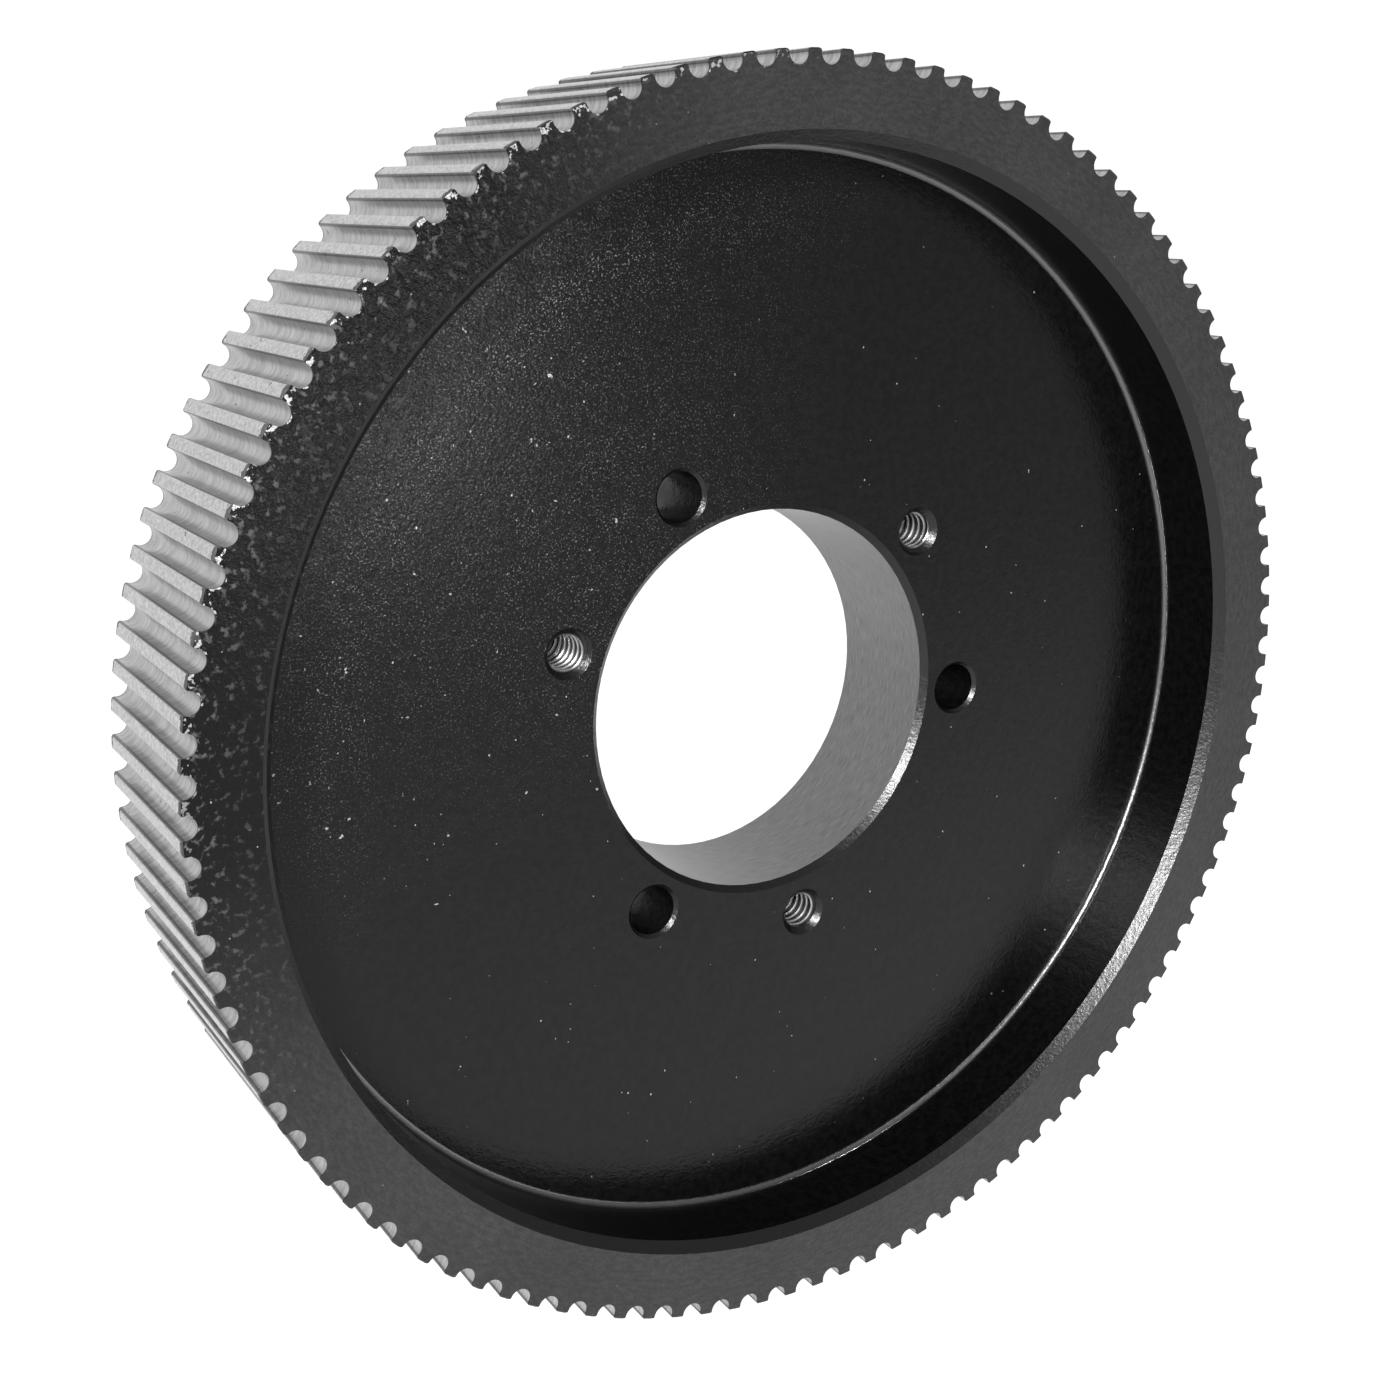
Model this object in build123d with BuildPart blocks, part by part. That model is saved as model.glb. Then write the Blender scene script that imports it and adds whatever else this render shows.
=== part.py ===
"""Synchronous-belt pulley, 112 round grooves at 5 mm pitch, for a QD taper bushing.

One machined piece: a toothed rim, a solid web recessed from the front, and a hub section
with a tapered bore, three drilled holes and three tapped holes. The shaft axis is Y, the
recessed front faces -Y, and the origin is on the axis at the middle of the rim's width.
"""

from build123d import *
from math import asin, cos, pi, radians, sin, sqrt, tan
import os

INCH = 25.4

# Toothed rim
BELT_PITCH = 5.0
TOOTH_COUNT = 112
PITCH_LINE_OFFSET = 0.5715
GROOVE_DEPTH = 2.06
GROOVE_RADIUS = 1.49
TIP_RADIUS = 0.43
RIM_WIDTH = 30.8
RIM_EDGE_BREAK = 0.2

# Front recess, which leaves the rim standing in front of the web
RECESS_RADIUS = 77.3
RECESS_MOUTH_CHAMFER = 1.4
RECESS_FOOT_FILLET = 0.8

# Tapered bore for the bushing's barrel, wide end at the front
HUB_LENGTH = 0.75 * INCH
BORE_LARGE_DIAMETER = 2.1875 * INCH
TAPER_ON_DIAMETER = 0.75 / 12
BORE_MOUTH_CHAMFER = 0.9
BORE_BACK_CHAMFER = 0.3

# Holes round the bore, on the bushing's bolt circle; angles are anticlockwise from +X
BOLT_CIRCLE_DIAMETER = 2.6875 * INCH
HOLE_COUNT = 3
FIRST_DRILLED_ANGLE = -4.2
TAPPED_AFTER_DRILLED = 45.25
DRILLED_DIAMETER = 9 / 32 * INCH
DRILLED_CHAMFER = 0.5
THREAD_DIAMETER = 0.25 * INCH
THREAD_PITCH = INCH / 20
THREAD_MOUTH_DIAMETER = 7.2

# Worked out from the above
outside_radius = TOOTH_COUNT * BELT_PITCH / (2 * pi) - PITCH_LINE_OFFSET
front_y = -RIM_WIDTH / 2
back_y = RIM_WIDTH / 2
hub_face_y = back_y - HUB_LENGTH
bolt_circle_radius = BOLT_CIRCLE_DIAMETER / 2
thread_height = THREAD_PITCH * sqrt(3) / 2
thread_minor_radius = THREAD_DIAMETER / 2 - 5 / 8 * thread_height
thread_mouth_chamfer = THREAD_MOUTH_DIAMETER / 2 - thread_minor_radius
first_tapped_angle = FIRST_DRILLED_ANGLE + TAPPED_AFTER_DRILLED
clear_past = 1.0

# Each plane has X to its right and Z up, as seen from the front, and its normal along -Y.
front_plane = Plane.XZ.offset(-front_y)
hub_plane = Plane.XZ.offset(-hub_face_y)
back_plane = Plane.XZ.offset(-back_y)


def mouth_chamfer(radius, chamfer):
    """Cuts a 45-degree chamfer into the front mouth of a hole of this radius, at the plane in use."""
    Cone(radius, radius + chamfer, chamfer, align=(Align.CENTER, Align.CENTER, Align.MAX), mode=Mode.SUBTRACT)


def back_chamfer(radius, chamfer):
    """Cuts the same chamfer into the back mouth of a hole."""
    Cone(radius + chamfer, radius, chamfer, align=(Align.CENTER, Align.CENTER, Align.MIN), mode=Mode.SUBTRACT)


def bore_radius(y):
    """The radius of the tapered bore's wall at this place along the axis."""
    return (BORE_LARGE_DIAMETER - TAPER_ON_DIAMETER * (y - hub_face_y)) / 2


# One belt groove with its centre line along +X, and the land that follows it anticlockwise
groove_bottom = outside_radius - GROOVE_DEPTH
groove_centre = groove_bottom + GROOVE_RADIUS
tip_centre_radius = outside_radius - TIP_RADIUS
tip_turn = asin((GROOVE_RADIUS + TIP_RADIUS) / tip_centre_radius)
tip_height = tip_centre_radius * cos(tip_turn)
tip_middle_turn = (pi / 2 + tip_turn) / 2
tip_middle_across = GROOVE_RADIUS + TIP_RADIUS * (1 - cos(tip_middle_turn))
tip_middle_height = tip_height + TIP_RADIUS * sin(tip_middle_turn)
land_height = outside_radius * cos(tip_turn)
land_across = outside_radius * sin(tip_turn)
half_step = pi / TOOTH_COUNT
next_land_edge = (
    outside_radius * cos(2 * half_step - tip_turn),
    outside_radius * sin(2 * half_step - tip_turn),
)

with BuildLine() as groove_and_land:
    for side in (-1, 1):
        ThreePointArc(
            (land_height, side * land_across),
            (tip_middle_height, side * tip_middle_across),
            (tip_height, side * GROOVE_RADIUS),
        )
        Line((tip_height, side * GROOVE_RADIUS), (groove_centre, side * GROOVE_RADIUS))
    ThreePointArc((groove_centre, -GROOVE_RADIUS), (groove_bottom, 0), (groove_centre, GROOVE_RADIUS))
    ThreePointArc(
        (land_height, land_across),
        (outside_radius * cos(half_step), outside_radius * sin(half_step)),
        next_land_edge,
    )

# The cutter of one tapped hole's helical groove, along +Z from its mouth
cutter_overlap = 0.06
cutter_inner = thread_minor_radius - cutter_overlap
root_half_width = THREAD_PITCH / 16
inner_half_width = root_half_width + (THREAD_DIAMETER / 2 - cutter_inner) * tan(radians(30))

with BuildPart() as thread_cutter:
    with BuildLine() as thread_path:
        Helix(THREAD_PITCH, HUB_LENGTH + 2 * THREAD_PITCH, thread_minor_radius, center=(0, 0, -THREAD_PITCH))
    with BuildSketch(Plane((thread_minor_radius, 0, -THREAD_PITCH), x_dir=(1, 0, 0), z_dir=(0, 1, 0))):
        with BuildLine():
            Polyline(
                (-cutter_overlap, -inner_half_width),
                (THREAD_DIAMETER / 2 - thread_minor_radius, -root_half_width),
                (THREAD_DIAMETER / 2 - thread_minor_radius, root_half_width),
                (-cutter_overlap, inner_half_width),
                close=True,
            )
        make_face()
    sweep(path=thread_path.line, is_frenet=True)

# The outside of the wheel: grooves and lands, with the lands' sharp ends broken
with BuildPart() as toothed_outside:
    with BuildSketch(front_plane):
        with BuildLine():
            with PolarLocations(0, TOOTH_COUNT):
                add(groove_and_land.line)
        make_face()
    extrude(amount=-RIM_WIDTH)
    with BuildSketch(Plane.XY):
        for side in (-1, 1):
            with BuildLine():
                Polyline(
                    (outside_radius - RIM_EDGE_BREAK, side * RIM_WIDTH / 2),
                    (outside_radius, side * (RIM_WIDTH / 2 - RIM_EDGE_BREAK)),
                    (outside_radius + clear_past, side * (RIM_WIDTH / 2 - RIM_EDGE_BREAK)),
                    (outside_radius + clear_past, side * RIM_WIDTH / 2),
                    close=True,
                )
            make_face()
    revolve(axis=Axis.Y, mode=Mode.SUBTRACT)

with BuildPart() as pulley:
    # Blank, a little larger than the finished wheel
    with Locations(back_plane):
        Cylinder(outside_radius + clear_past, RIM_WIDTH, align=(Align.CENTER, Align.CENTER, Align.MIN))

    # Everything turned from the inside: front recess, then the bore's taper with its chamfers
    with BuildSketch(Plane.XY):
        with BuildLine():
            Polyline(
                (0, front_y),
                (RECESS_RADIUS + RECESS_MOUTH_CHAMFER, front_y),
                (RECESS_RADIUS, front_y + RECESS_MOUTH_CHAMFER),
                (RECESS_RADIUS, hub_face_y - RECESS_FOOT_FILLET),
            )
            RadiusArc(
                (RECESS_RADIUS, hub_face_y - RECESS_FOOT_FILLET),
                (RECESS_RADIUS - RECESS_FOOT_FILLET, hub_face_y),
                -RECESS_FOOT_FILLET,
            )
            Polyline(
                (RECESS_RADIUS - RECESS_FOOT_FILLET, hub_face_y),
                (bore_radius(hub_face_y) + BORE_MOUTH_CHAMFER, hub_face_y),
                (bore_radius(hub_face_y + BORE_MOUTH_CHAMFER), hub_face_y + BORE_MOUTH_CHAMFER),
                (bore_radius(back_y - BORE_BACK_CHAMFER), back_y - BORE_BACK_CHAMFER),
                (bore_radius(back_y) + BORE_BACK_CHAMFER, back_y),
                (0, back_y),
                (0, front_y),
            )
        make_face()
    revolve(axis=Axis.Y, mode=Mode.SUBTRACT)

    # Drilled holes, chamfered at both ends
    with Locations(hub_plane):
        with PolarLocations(bolt_circle_radius, HOLE_COUNT, start_angle=FIRST_DRILLED_ANGLE):
            Cylinder(DRILLED_DIAMETER / 2, 3 * HUB_LENGTH, mode=Mode.SUBTRACT)
            mouth_chamfer(DRILLED_DIAMETER / 2, DRILLED_CHAMFER)
    with Locations(back_plane):
        with PolarLocations(bolt_circle_radius, HOLE_COUNT, start_angle=FIRST_DRILLED_ANGLE):
            back_chamfer(DRILLED_DIAMETER / 2, DRILLED_CHAMFER)

    # Tapped holes: the helical groove first, then the core of the hole through it
    with Locations(hub_plane):
        with PolarLocations(bolt_circle_radius, HOLE_COUNT, start_angle=first_tapped_angle):
            add(thread_cutter.part, rotation=(180, 0, 0), mode=Mode.SUBTRACT)
            Cylinder(thread_minor_radius, 3 * HUB_LENGTH, mode=Mode.SUBTRACT)
            mouth_chamfer(thread_minor_radius, thread_mouth_chamfer)
    with Locations(back_plane):
        with PolarLocations(bolt_circle_radius, HOLE_COUNT, start_angle=first_tapped_angle):
            back_chamfer(thread_minor_radius, thread_mouth_chamfer)

    # Grooves and lands all round
    add(toothed_outside.part, mode=Mode.INTERSECT)

pulley.part.label = "pulley"
os.makedirs("parts", exist_ok=True)
export_step(pulley.part, "parts/pulley.step")
print("outside diameter", 2 * outside_radius, "valid", pulley.part.is_valid, len(pulley.part.faces()))
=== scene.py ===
"""Looks of the timing-belt pulley: satin black coating, with bare machined teeth, bore and threads."""

import math
from types import SimpleNamespace

import bpy
from mathutils import Matrix, Vector


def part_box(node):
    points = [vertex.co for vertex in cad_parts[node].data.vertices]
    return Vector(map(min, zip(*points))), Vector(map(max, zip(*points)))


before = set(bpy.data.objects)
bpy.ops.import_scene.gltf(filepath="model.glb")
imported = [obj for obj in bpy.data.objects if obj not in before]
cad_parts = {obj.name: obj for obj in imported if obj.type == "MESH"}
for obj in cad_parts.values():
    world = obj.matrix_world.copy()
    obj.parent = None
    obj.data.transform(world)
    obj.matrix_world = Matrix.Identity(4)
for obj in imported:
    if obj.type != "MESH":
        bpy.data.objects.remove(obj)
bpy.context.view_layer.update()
scene = bpy.context.scene

MM = 0.001

# The part's own dimensions, in metres, that the finishes change at
OUTSIDE_R = 88.555 * MM
GROOVE_BOTTOM_R = 86.495 * MM
GROOVE_R = 1.49 * MM
GROOVE_CENTRE_R = GROOVE_BOTTOM_R + GROOVE_R
GROOVES = 112
HALF_WIDTH = 15.4 * MM
HUB_FACE_Y = -3.65 * MM
RECESS_R = 77.3 * MM
MOUTH_CHAMFER = 1.4 * MM
FOOT_FILLET = 0.8 * MM
BORE_R = 27.781 * MM
BOLT_CIRCLE_R = 34.131 * MM
TAPPED_HOLES = 3
TAPPED_ANGLE = math.radians(41.05)
THREAD_CREST_R = 2.5 * MM
THREAD_OUTSIDE_R = 3.3 * MM
HOLE_CHAMFER = 0.9 * MM
SLACK = 0.05 * MM

# How much light each finish reflects. Two numbers are the limits of its grain
WEB_BLACK = (0.001, 0.003)
RIM_BLACK = (0.015, 0.028)
FLAKED_RIM = (0.001, 0.06)
# Dust grain on the upper left of the web, partly a painted glint sheen
DUST_AND_GLINT_GRAIN = 0.3
# Painted sheen: a lighter film on the web along the recess's wall at the upper left
PAINTED_SHEEN_FILM = 0.03
SPECK = 0.35
CHIP = 0.6
WORN_FOOT = 0.15
WORN_CHAMFER = 0.042
# Painted sheen on the outer half of the recess's mouth chamfer, on the worn side
PAINTED_MOUTH_SHEEN = 0.04
GROOVE_METAL = 0.42
# Painted shade on the groove flanks just below the lands' edges
FLANK_SHADE_METAL = 0.14
LAND_METAL = 0.50
BORE_METAL = 0.19
THREAD_CREST = 0.45
# Painted shade in the threads' roots
THREAD_ROOT_SHADE = 0.03
METAL_GRAIN = (0.72, 1.18)
PIT = 0.04

# Roughness of the finishes. The rim's and the chamfers' come on top of the coating's
COATING_ROUGH = (0.18, 0.26)
RIM_ROUGHER, WORN_RIM_ROUGHER = 0.17, 0.02
CHAMFER_ROUGHER = 0.11
METAL_ROUGH = (0.30, 0.42)

# The rim is worn, and the web dusty with a painted sheen, round these directions from the axis
WORN_DIRECTION = math.radians(155)
DUST_AND_SHEEN_DIRECTION = math.radians(138)


class Nodes:
    """Builds one material's node tree from small calls. A mask is a number from 0 to 1."""

    def __init__(self, name):
        self.material = bpy.data.materials.new(name)
        self.material.use_nodes = True
        self.tree = self.material.node_tree
        self.tree.nodes.clear()

    def new(self, kind, **settings):
        node = self.tree.nodes.new(kind)
        for key, value in settings.items():
            setattr(node, key, value)
        return node

    def feed(self, socket, value):
        if isinstance(value, bpy.types.NodeSocket):
            self.tree.links.new(value, socket)
        else:
            socket.default_value = value

    def fed(self, node, *values):
        """The node's first output, with values on its first inputs."""
        for socket, value in zip(node.inputs, values):
            self.feed(socket, value)
        return node.outputs[0]

    def math(self, operation, *values):
        return self.fed(self.new("ShaderNodeMath", operation=operation), *values)

    def chain(self, operation, first, *others):
        for other in others:
            first = self.math(operation, first, other)
        return first

    def add(self, *values):
        return self.chain("ADD", *values)

    def take(self, value, less):
        return self.math("SUBTRACT", value, less)

    def times(self, *values):
        """The product of numbers, or where all of several masks hold."""
        return self.chain("MULTIPLY", *values)

    def most(self, *values):
        """The largest of numbers, or where any of several masks holds."""
        return self.chain("MAXIMUM", *values)

    def outside(self, mask):
        return self.take(1.0, mask)

    def above(self, value, limit):
        return self.math("GREATER_THAN", value, limit)

    def below(self, value, limit):
        return self.math("LESS_THAN", value, limit)

    def between(self, value, low, high):
        return self.times(self.above(value, low), self.below(value, high))

    def length(self, a, b):
        return self.math("SQRT", self.add(self.times(a, a), self.times(b, b)))

    def ramp(self, value, low, high, to_low=0.0, to_high=1.0):
        """value's place between low and high, smoothed, as a number from to_low to to_high."""
        node = self.new("ShaderNodeMapRange", interpolation_type="SMOOTHSTEP")
        return self.fed(node, value, low, high, to_low, to_high)

    def blend(self, share, first, second):
        """A number: first where share is 0, second where it is 1."""
        node = self.new("ShaderNodeMix", data_type="FLOAT")
        for index, value in ((0, share), (2, first), (3, second)):
            self.feed(node.inputs[index], value)
        return node.outputs[0]

    def noise(self, vector, cells_per_metre, detail, roughness):
        node = self.new("ShaderNodeTexNoise")
        self.feed(node.inputs["Vector"], vector)
        node.inputs["Scale"].default_value = cells_per_metre
        node.inputs["Detail"].default_value = detail
        node.inputs["Roughness"].default_value = roughness
        return node.outputs["Fac"]

    def joined(self, x, y, z):
        return self.fed(self.new("ShaderNodeCombineXYZ"), x, y, z)

    def split(self, vector):
        node = self.new("ShaderNodeSeparateXYZ")
        self.feed(node.inputs[0], vector)
        return node.outputs

    def stretched(self, vector, x, y, z):
        node = self.new("ShaderNodeVectorMath", operation="MULTIPLY")
        return self.fed(node, vector, (x, y, z))

    def towards(self, angle, direction, full, none):
        """A mask: 1 within full degrees of a direction round the axis, and 0 beyond none degrees."""
        turned = self.math("ABSOLUTE", self.math("WRAP", self.take(angle, direction), math.pi, -math.pi))
        return self.ramp(turned, math.radians(full), math.radians(none), 1.0, 0.0)

    def from_nearest(self, r, angle, count, circle_r):
        """Distance from the nearest of count points spaced evenly round a circle about the axis."""
        turned = self.math("WRAP", angle, math.pi / count, -math.pi / count)
        outwards = self.take(self.times(r, self.math("COSINE", turned)), circle_r)
        return self.length(outwards, self.times(r, self.math("SINE", turned)))

    def finished(self, bsdf):
        """The material, with this shader as its surface."""
        self.feed(self.new("ShaderNodeOutputMaterial").inputs["Surface"], bsdf.outputs[0])
        return self.material


def grains(n, where, r, angle):
    """Noises of several sizes, and the marks of turning, which are long round the axis."""
    round_axis = n.joined(r, n.times(angle, 0.03), 0.0)
    return SimpleNamespace(
        dust=n.noise(where, 3600, 1.0, 0.5),
        fine=n.noise(where, 2400, 2.0, 0.6),
        specks=n.noise(where, 1300, 1.0, 0.5),
        chips=n.noise(where, 1100, 2.0, 0.6),
        medium=n.noise(where, 900, 3.0, 0.6),
        coarse=n.noise(where, 330, 4.0, 0.7),
        broad=n.noise(where, 60, 4.0, 0.6),
        turning=n.noise(round_axis, 1700, 2.0, 0.5),
    )


def places(n):
    """Where on the pulley a point is, and which of its features it belongs to."""
    coordinates = n.new("ShaderNodeTexCoord")
    at = SimpleNamespace(where=coordinates.outputs["Object"])
    x, y, z = n.split(at.where)
    end_on = n.math("ABSOLUTE", n.split(coordinates.outputs["Normal"])[1])
    at.y = y
    at.r = n.length(x, z)
    at.angle = n.math("ARCTAN2", z, x)
    at.grain = grains(n, at.where, at.r, at.angle)
    at.from_end = n.take(HALF_WIDTH, n.math("ABSOLUTE", y))
    at.from_tapped = n.from_nearest(at.r, n.take(at.angle, TAPPED_ANGLE), TAPPED_HOLES, BOLT_CIRCLE_R)
    at.from_groove = n.take(n.from_nearest(at.r, at.angle, GROOVES, GROOVE_CENTRE_R), GROOVE_R)

    # By the direction that the surface faces
    at.flat = n.above(end_on, 0.9)
    at.sloped = n.between(end_on, 0.3, 0.9)
    at.on_rim = n.times(n.below(at.from_end, 2 * SLACK), at.flat)
    at.on_mouth = n.times(n.below(y, SLACK - HALF_WIDTH + MOUTH_CHAMFER), n.above(end_on, 0.5))
    at.in_foot = n.times(
        n.between(at.r, RECESS_R - FOOT_FILLET - SLACK, RECESS_R + SLACK),
        n.between(y, HUB_FACE_Y - FOOT_FILLET - SLACK, HUB_FACE_Y + 2 * SLACK),
    )

    # Bare metal: the coating laps over the teeth's ends, further on the lands than in the grooves
    at.on_land = n.above(at.r, OUTSIDE_R - 0.12 * MM)
    lap = n.blend(at.on_land, 0.2 * MM, n.ramp(at.grain.medium, 0.35, 0.65, 0.3 * MM, 1.0 * MM))
    at.on_teeth = n.times(
        n.above(at.r, GROOVE_BOTTOM_R - 0.3 * MM), n.below(end_on, 0.85), n.above(at.from_end, lap)
    )
    at.in_bore = n.times(n.below(at.r, BORE_R + 0.2 * MM), n.below(end_on, 0.3))
    at.in_thread = n.times(
        n.below(at.from_tapped, THREAD_OUTSIDE_R),
        n.above(y, HUB_FACE_Y + HOLE_CHAMFER),
        n.above(at.from_end, HOLE_CHAMFER),
    )
    at.bare = n.most(at.on_teeth, at.in_bore, at.in_thread)

    # The upper left, as seen from the front, is rougher and dustier than the rest, and its web has a painted
    # sheen
    at.worn_side = n.towards(at.angle, WORN_DIRECTION, 25, 60)
    at.chipped_side = n.towards(at.angle, DUST_AND_SHEEN_DIRECTION, 20, 52)
    # Dust and painted sheen: on the upper left of the web, stronger towards the recess's wall
    at.dusty = n.times(
        n.towards(at.angle, DUST_AND_SHEEN_DIRECTION, 5, 70),
        n.ramp(at.r, 58 * MM, 76 * MM, 0.3, 1.0),
        at.flat,
        n.ramp(at.grain.coarse, 0.3, 0.6, 0.3, 1.0),
    )
    # Painted sheen: a lighter band hugging the recess's wall at the upper left
    at.filmed = n.times(
        n.towards(at.angle, DUST_AND_SHEEN_DIRECTION, 8, 42),
        n.ramp(at.r, 64 * MM, 76 * MM),
        at.flat,
        n.ramp(at.grain.coarse, 0.35, 0.6, 0.35, 1.0),
    )
    clusters = n.add(at.grain.specks, n.times(at.grain.coarse, 0.3))
    at.specks = n.ramp(n.take(clusters, n.blend(at.worn_side, 0.95, 0.91)), 0.0, 0.04)
    return at


def web_coating(n, at):
    """Smooth black, with grains, and on the upper left dust grain and a painted sheen that grow towards the
    recess's wall.
    """
    black = n.blend(n.ramp(at.grain.medium, 0.3, 0.7), *WEB_BLACK)
    dust = n.ramp(n.add(at.grain.dust, n.times(at.filmed, 0.07)), 0.55, 0.8)
    return n.most(n.blend(n.times(at.dusty, dust), black, DUST_AND_GLINT_GRAIN), n.times(at.filmed, PAINTED_SHEEN_FILM))


def rim_coating(n, at):
    """Turned greyish black, and blacker with grey flakes on the worn side."""
    turned = n.ramp(n.times(at.grain.turning, at.grain.fine), 0.12, 0.4, 0.75, 1.3)
    plain = n.times(n.blend(at.grain.broad, *RIM_BLACK), turned)
    flakes = n.times(n.ramp(at.grain.medium, 0.54, 0.68), n.ramp(at.r, 81 * MM, 86 * MM, 0.35, 1.0))
    return n.blend(at.worn_side, plain, n.blend(flakes, *FLAKED_RIM))


def coating(n, at):
    """Value, roughness, metallic share and height of the black coating."""
    # On the worn side the mouth chamfer takes the rim's colour, and its outer half a lighter grey: a painted
    # sheen
    painted_sheen_mouth = n.times(at.on_mouth, at.worn_side)
    value = n.blend(n.most(at.on_rim, painted_sheen_mouth), web_coating(n, at), rim_coating(n, at))
    outer_mouth = n.above(at.r, RECESS_R + MOUTH_CHAMFER / 2)
    value = n.blend(n.times(painted_sheen_mouth, outer_mouth, at.sloped), value, PAINTED_MOUTH_SHEEN)

    # Sparse specks, and chips at the grooves' front ends and on the teeth's corners
    specks = n.times(at.specks, at.flat)
    value = n.blend(specks, value, SPECK)
    near_edge = n.most(
        n.ramp(at.from_groove, 0.1 * MM, 0.7 * MM, 0.85, 0.0), n.ramp(at.r, 86.3 * MM, 87.6 * MM, 0.0, 0.9)
    )
    chips = n.times(
        at.on_rim, at.chipped_side, n.ramp(n.times(near_edge, at.grain.chips), 0.48, 0.54)
    )
    value = n.blend(chips, value, CHIP)

    # Coating worn thin, and so brighter, in the recess's foot and on the other chamfers
    value = n.blend(at.in_foot, value, WORN_FOOT)
    on_edge = n.times(at.sloped, n.outside(painted_sheen_mouth))
    value = n.blend(n.times(on_edge, n.outside(at.in_foot)), value, WORN_CHAMFER)
    shiny = n.most(n.times(chips, 0.8), n.times(specks, 0.6), at.in_foot, on_edge)

    rough = n.add(
        n.blend(n.ramp(at.grain.fine, 0.3, 0.7), *COATING_ROUGH),
        n.times(at.on_rim, n.ramp(at.worn_side, 0.0, 1.0, RIM_ROUGHER, WORN_RIM_ROUGHER)),
        n.times(at.sloped, CHAMFER_ROUGHER),
    )
    height = n.add(at.grain.medium, at.grain.fine, n.times(at.grain.turning, 0.8))
    height = n.times(height, n.most(n.times(at.sloped, 0.6), n.times(at.dusty, 0.8), 0.4))
    return value, rough, shiny, height


def bare_metal(n, at):
    """Value, roughness and height of the bare metal."""
    on_lands = n.noise(at.where, 2000, 2.0, 0.6)
    across_grooves = n.noise(n.stretched(at.where, 0.25, 1, 0.25), 1500, 3.0, 0.65)
    round_bore = n.noise(n.joined(n.times(at.angle, 0.002), at.y, 0.0), 6000, 3.0, 0.6)
    grain = n.blend(at.in_bore, n.blend(at.on_land, across_grooves, on_lands), round_bore)

    # Painted shade: the grooves' flanks darken just below the lands' edges
    flank_shade = n.times(n.ramp(at.r, OUTSIDE_R - 0.65 * MM, OUTSIDE_R - 0.4 * MM), n.outside(at.on_land))
    # Painted shade: the threads darken from the crests into the roots
    thread_depth = 0.3 * MM
    shaded_thread = n.ramp(at.from_tapped, THREAD_CREST_R, THREAD_CREST_R + thread_depth, THREAD_CREST, THREAD_ROOT_SHADE)
    value = n.blend(flank_shade, GROOVE_METAL, FLANK_SHADE_METAL)
    for mask, metal in ((at.in_thread, shaded_thread), (at.in_bore, BORE_METAL), (at.on_land, LAND_METAL)):
        value = n.blend(mask, value, metal)
    value = n.times(value, n.blend(n.ramp(grain, 0.3, 0.7), *METAL_GRAIN))
    value = n.blend(n.times(at.specks, at.on_teeth), value, PIT)
    return value, n.blend(grain, *METAL_ROUGH), n.times(grain, 0.18)


def coated_metal():
    """Black coating on the turned faces, and bare metal on the teeth, in the bore and on the threads."""
    n = Nodes("coated_and_bare_metal")
    at = places(n)
    coat_value, coat_rough, shiny, coat_height = coating(n, at)
    metal_value, metal_rough, metal_height = bare_metal(n, at)

    value = n.blend(at.bare, coat_value, metal_value)
    bump = n.new("ShaderNodeBump")
    bump.inputs["Strength"].default_value = 0.6
    bump.inputs["Distance"].default_value = 0.13 * MM
    n.feed(bump.inputs["Height"], n.blend(at.bare, coat_height, metal_height))
    bsdf = n.new("ShaderNodeBsdfPrincipled")
    bsdf.inputs["Specular IOR Level"].default_value = 0.27
    n.feed(bsdf.inputs["Base Color"], n.joined(value, value, value))
    n.feed(bsdf.inputs["Metallic"], n.most(at.bare, shiny))
    n.feed(bsdf.inputs["Roughness"], n.blend(at.bare, coat_rough, metal_rough))
    n.feed(bsdf.inputs["Normal"], bump.outputs[0])
    return n.finished(bsdf)


def pale_floor():
    """Matt white that glows, less so in front of the object."""
    n = Nodes("pale_floor")
    depth = n.split(n.new("ShaderNodeTexCoord").outputs["Object"])[1]
    bsdf = n.new("ShaderNodeBsdfPrincipled")
    bsdf.inputs["Base Color"].default_value = (0.25, 0.25, 0.25, 1)
    bsdf.inputs["Roughness"].default_value = 0.8
    bsdf.inputs["Specular IOR Level"].default_value = 0.1
    bsdf.inputs["Emission Color"].default_value = (1, 1, 1, 1)
    n.feed(bsdf.inputs["Emission Strength"], n.ramp(depth, -0.5, -0.08, 0.4, 0.88))
    return n.finished(bsdf)


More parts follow.
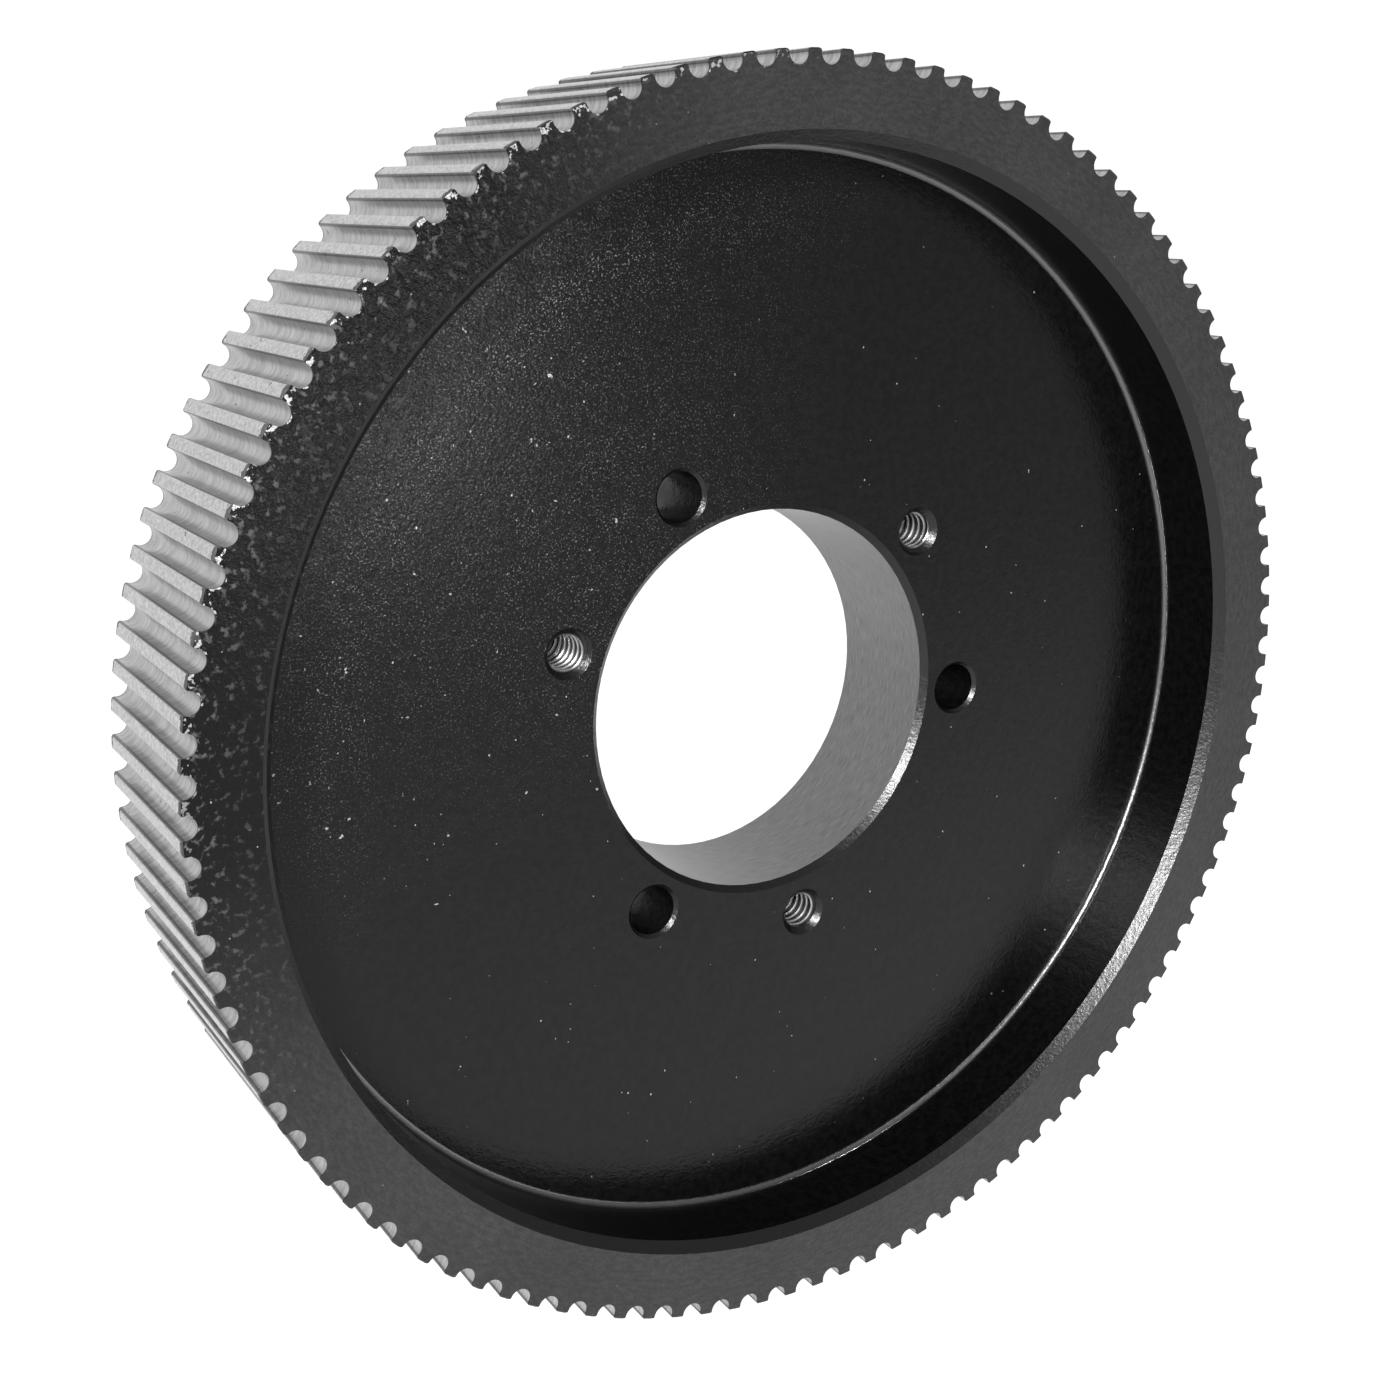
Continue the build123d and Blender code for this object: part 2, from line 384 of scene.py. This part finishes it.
def backdrop():
    """A sheet that lies under the pulley and curves up behind it."""
    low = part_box("pulley")[0].z
    front, back, half_width, height = -4.5, 0.9, 12.0, 2.5
    radius, steps = 0.5, 24
    turns = [math.radians(90) * i / steps for i in range(steps + 1)]
    line = [(front, low)]
    line += [(back + radius * math.sin(t), low + radius * (1 - math.cos(t))) for t in turns]
    line.append((back + radius, low + height))
    points = [(side * half_width, y, z) for y, z in line for side in (-1, 1)]
    faces = [(2 * i, 2 * i + 1, 2 * i + 3, 2 * i + 2) for i in range(len(line) - 1)]
    mesh = bpy.data.meshes.new("floor")
    mesh.from_pydata(points, [], faces)
    for polygon in mesh.polygons:
        polygon.use_smooth = True
    mesh.materials.append(pale_floor())
    floor = bpy.data.objects.new("floor", mesh)
    scene.collection.objects.link(floor)


def soft_world(strength):
    """White light from all round."""
    world = bpy.data.worlds.new("studio")
    world.use_nodes = True
    background = world.node_tree.nodes["Background"]
    background.inputs["Color"].default_value = (1, 1, 1, 1)
    background.inputs["Strength"].default_value = strength
    scene.world = world


def panel(name, place, aim, size, watts, spread=180):
    """A square light that faces aim. spread is in degrees."""
    light = bpy.data.lights.new(name, "AREA")
    light.shape = "SQUARE"
    light.size, light.energy, light.spread = size, watts, math.radians(spread)
    lamp = bpy.data.objects.new(name, light)
    lamp.location = place
    lamp.rotation_mode = "QUATERNION"
    lamp.rotation_quaternion = (Vector(aim) - Vector(place)).to_track_quat("-Z", "Y")
    scene.collection.objects.link(lamp)


def level_camera(place, forward, lens, shift):
    """A camera without roll that looks along forward from place, in metres."""
    forward = Vector(forward).normalized()
    right = forward.cross(Vector((0, 0, 1))).normalized()
    turned = Matrix((right, right.cross(forward), -forward)).transposed().to_4x4()
    data = bpy.data.cameras.new("camera")
    data.sensor_width = 36
    data.lens = lens
    data.shift_x, data.shift_y = shift
    data.clip_start, data.clip_end = 0.01, 20
    camera = bpy.data.objects.new("camera", data)
    camera.matrix_world = Matrix.Translation(place) @ turned
    scene.collection.objects.link(camera)
    scene.camera = camera


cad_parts["pulley"].material_slots[0].material = coated_metal()
backdrop()
soft_world(0.45)
panel("key", (-0.68, -0.81, 0.47), (0, 0, 0), 0.28, 0.9, spread=28)
panel("fill", (0.15, -0.6, -0.01), (-0.05, 0, 0.05), 0.08, 0.22)
level_camera(
    place=(-140.69 * MM, -213.57 * MM, 70.48 * MM),
    forward=(0.4861, 0.8399, -0.2416),
    lens=47.57,
    shift=(0.0270, -0.0299),
)
scene.view_settings.view_transform = "Standard"
